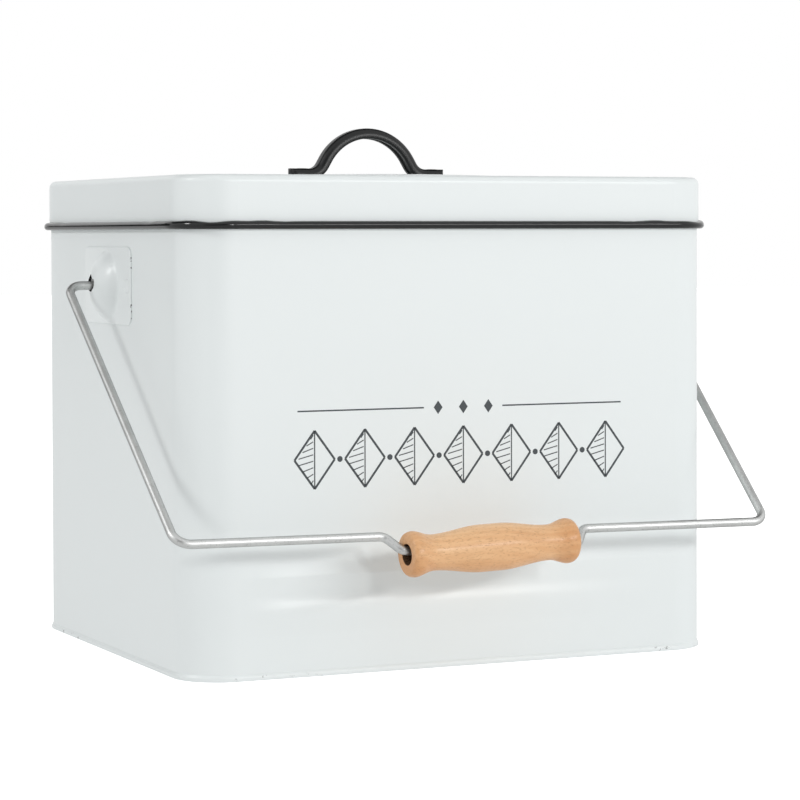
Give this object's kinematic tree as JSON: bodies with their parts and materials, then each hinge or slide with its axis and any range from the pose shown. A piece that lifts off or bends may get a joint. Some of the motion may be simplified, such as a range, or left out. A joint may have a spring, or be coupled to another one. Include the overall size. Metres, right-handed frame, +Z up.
{
  "type": "compost caddy with hinged lid",
  "caption": "Countertop compost caddy: rounded white steel bin with a deep hinged lid, black strap handle, swinging wire bail with a wooden grip, lift-out liner and odour filter.",
  "frame": {"origin": "middle of the bin, on the face that its seamed foot rests on", "axes": "+Z up, +X to the right of someone who faces the front, -Y out of the front, where the bail hangs"},
  "size_m": [0.2801, 0.2494, 0.226],
  "materials": {
    "white_coat": "satin powder coat",
    "black_enamel": "glossy enamel",
    "galvanised_wire": "dull galvanised",
    "bright_steel": "satin",
    "beech": "clear lacquer",
    "liner_plastic": "matte",
    "filter_plastic": "matte",
    "charcoal": "matte felt"
  },
  "bodies": {
    "bin": {"body_shell": "white_coat", "bottom_pan": "white_coat", "inner_bucket": "liner_plastic", "ear_plate_left": "white_coat", "ear_plate_right": "white_coat", "ear_rivets_left": "white_coat", "ear_rivets_right": "white_coat", "hinge_leaf_body_left": "black_enamel", "hinge_leaf_body_right": "black_enamel", "hinge_rivets_body": "bright_steel", "hinge_pin_left": "bright_steel", "hinge_pin_right": "bright_steel"},
    "lid": {"lid_shell": "white_coat", "lid_edging": "black_enamel", "lid_handle": "black_enamel", "handle_rivets": "black_enamel", "hinge_leaf_lid_left": "black_enamel", "hinge_leaf_lid_right": "black_enamel", "hinge_rivets_lid": "bright_steel", "filter_holder": "filter_plastic", "charcoal_pad": "charcoal", "filter_grille": "filter_plastic"},
    "bail": {"bail_wire": "galvanised_wire"},
    "grip": {"bail_grip": "beech"}
  },
  "joints": [
    {"name": "lid_hinge", "type": "hinge", "parent": "bin", "child": "lid", "pos_m": [0, 0.10365, 0.1818], "axis": [-1, 0, 0], "range_deg": [0, 105]},
    {"name": "bail_swing", "type": "hinge", "parent": "bin", "child": "bail", "pos_m": [0, 0.001, 0.1574], "axis": [-1, 0, 0], "range_deg": [-10, 267]},
    {"name": "grip_spin", "type": "hinge", "parent": "bail", "child": "grip", "pos_m": [-0.00236, -0.13151, 0.05237], "axis": [0.9997, 0.0191, 0.0152], "continuous": true}
  ]
}
